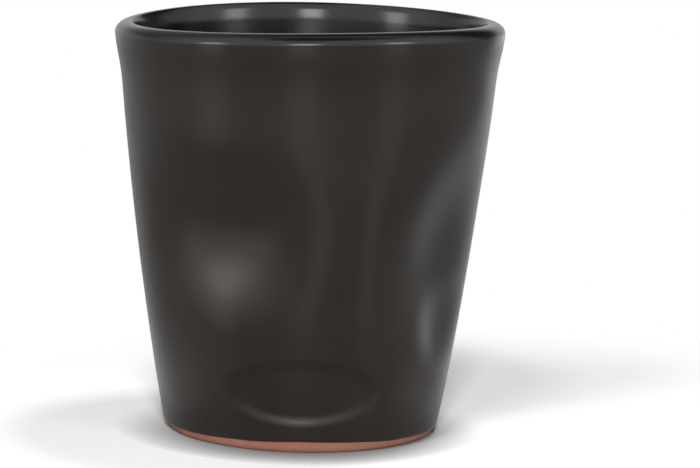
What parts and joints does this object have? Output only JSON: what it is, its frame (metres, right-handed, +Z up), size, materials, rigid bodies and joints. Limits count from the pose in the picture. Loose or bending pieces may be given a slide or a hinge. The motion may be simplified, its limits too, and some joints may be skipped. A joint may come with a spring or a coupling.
{
  "type": "dimpled clay cup",
  "caption": "Handle-less tapered drinking cup in red clay with finger dimples, satin black glaze outside, glossy black lip and inside, and a bare foot.",
  "frame": {"origin": "centre of the foot, on the table", "axes": "+Z up along the cup's axis, -Y towards the picture's viewer, +X to the picture's right"},
  "size_m": [0.08, 0.08, 0.085],
  "materials": {
    "terracotta": "matt, unglazed",
    "satin_black_glaze": "satin",
    "gloss_black_glaze": "gloss"
  },
  "bodies": {
    "root": {"base_disc": "terracotta", "clay_wall": "terracotta", "corner_coil": "terracotta", "outer_glaze": "satin_black_glaze", "rim_glaze": "gloss_black_glaze", "liner_glaze": "gloss_black_glaze"}
  },
  "joints": []
}
